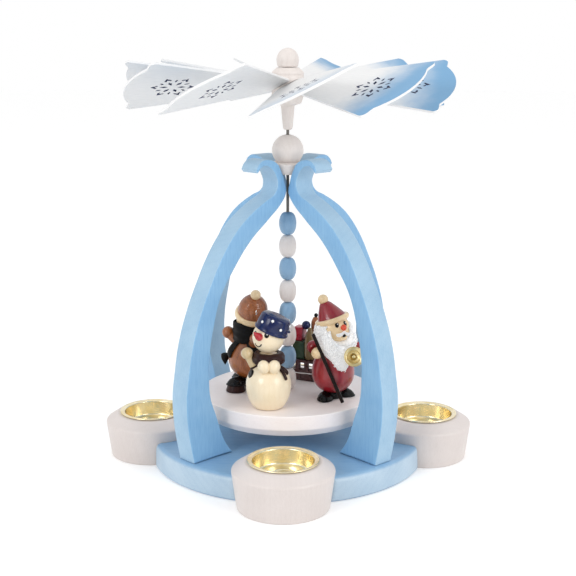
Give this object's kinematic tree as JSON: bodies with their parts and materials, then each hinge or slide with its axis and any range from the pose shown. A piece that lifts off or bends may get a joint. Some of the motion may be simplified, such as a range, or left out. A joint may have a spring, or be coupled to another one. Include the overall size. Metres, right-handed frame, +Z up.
{
  "type": "candle carousel",
  "caption": "Table-top candle carousel: round base with candle holders, arches, a turning disc of wooden figures on a shaft, and a bladed impeller on top that warm air turns",
  "frame": {"origin": "centre of the base plate's flat underside, on the turning axis, at table height", "axes": "+Z up along the shaft, -Y towards the front candle holder, +X to the right candle holder"},
  "size_m": [0.2606, 0.2606, 0.2857],
  "materials": {
    "light_blue_wood": "light blue wood stain, satin",
    "white_wood": "white glazed turned wood, satin",
    "brass": "polished sheet brass",
    "steel": "dark drawn steel",
    "mid_blue_wood": "blue glazed turned wood",
    "cream_wood": "cream glazed turned wood",
    "carrot_red_wood": "red painted wood",
    "navy_wood": "dark blue painted wood with white dots",
    "dark_brown_wood": "dark brown painted",
    "red_wood": "red stained turned wood",
    "black_wood": "black painted wood",
    "skin_wood": "natural turned wood, painted face",
    "white_fleece": "white curled fleece",
    "brown_wood": "brown stained turned wood",
    "green_wood": "painted wood",
    "olive_wood": "stained turned wood",
    "blade_wood": "thin white glazed wood, airbrushed blue at the tip"
  },
  "bodies": {
    "stand": {"base_plate": "light_blue_wood", "candle_holder_front": "white_wood", "candle_holder_right": "white_wood", "candle_holder_back": "white_wood", "candle_holder_left": "white_wood", "brass_cup_front": "brass", "brass_cup_right": "brass", "brass_cup_back": "brass", "brass_cup_left": "brass", "arch_front_left": "light_blue_wood", "arch_front_right": "light_blue_wood", "arch_back_left": "light_blue_wood", "arch_back_right": "light_blue_wood", "guide_ball": "white_wood", "bearing_cup": "brass"},
    "carousel": {"spindle": "steel", "turntable": "white_wood", "bead_1": "white_wood", "bead_2": "mid_blue_wood", "bead_3": "white_wood", "bead_4": "mid_blue_wood", "bead_5": "white_wood", "bead_6": "mid_blue_wood", "bead_7": "white_wood", "bead_8": "mid_blue_wood", "snowman_body": "cream_wood", "snowman_head": "cream_wood", "snowman_nose": "carrot_red_wood", "snowman_pot_hat": "navy_wood", "snowman_scarf": "dark_brown_wood", "santa_body": "red_wood", "santa_boots": "black_wood", "santa_head": "skin_wood", "santa_hat": "red_wood", "santa_beard": "white_fleece", "santa_right_arm": "red_wood", "santa_left_arm": "red_wood", "santa_staff": "dark_brown_wood", "santa_bell": "brass", "child_body": "brown_wood", "child_boots": "black_wood", "child_head": "skin_wood", "child_hat": "brown_wood", "child_scarf": "black_wood", "child_basket": "black_wood", "sled_frame": "dark_brown_wood", "sled_parcels": "green_wood", "sled_sack": "olive_wood"},
    "impeller": {"hub": "white_wood", "cap_knob": "white_wood", "blade_01": "blade_wood", "blade_02": "blade_wood", "blade_03": "blade_wood", "blade_04": "blade_wood", "blade_05": "blade_wood", "blade_06": "blade_wood", "blade_07": "blade_wood", "blade_08": "blade_wood", "blade_09": "blade_wood", "blade_10": "blade_wood"}
  },
  "joints": [
    {"name": "spin", "type": "hinge", "parent": "stand", "child": "carousel", "pos_m": [0, 0, 0.0475], "axis": [0, 0, 1], "continuous": true},
    {"name": "impeller_lift", "type": "slide", "parent": "carousel", "child": "impeller", "axis": [0, 0, 1], "range_m": [0, 0.035]}
  ]
}
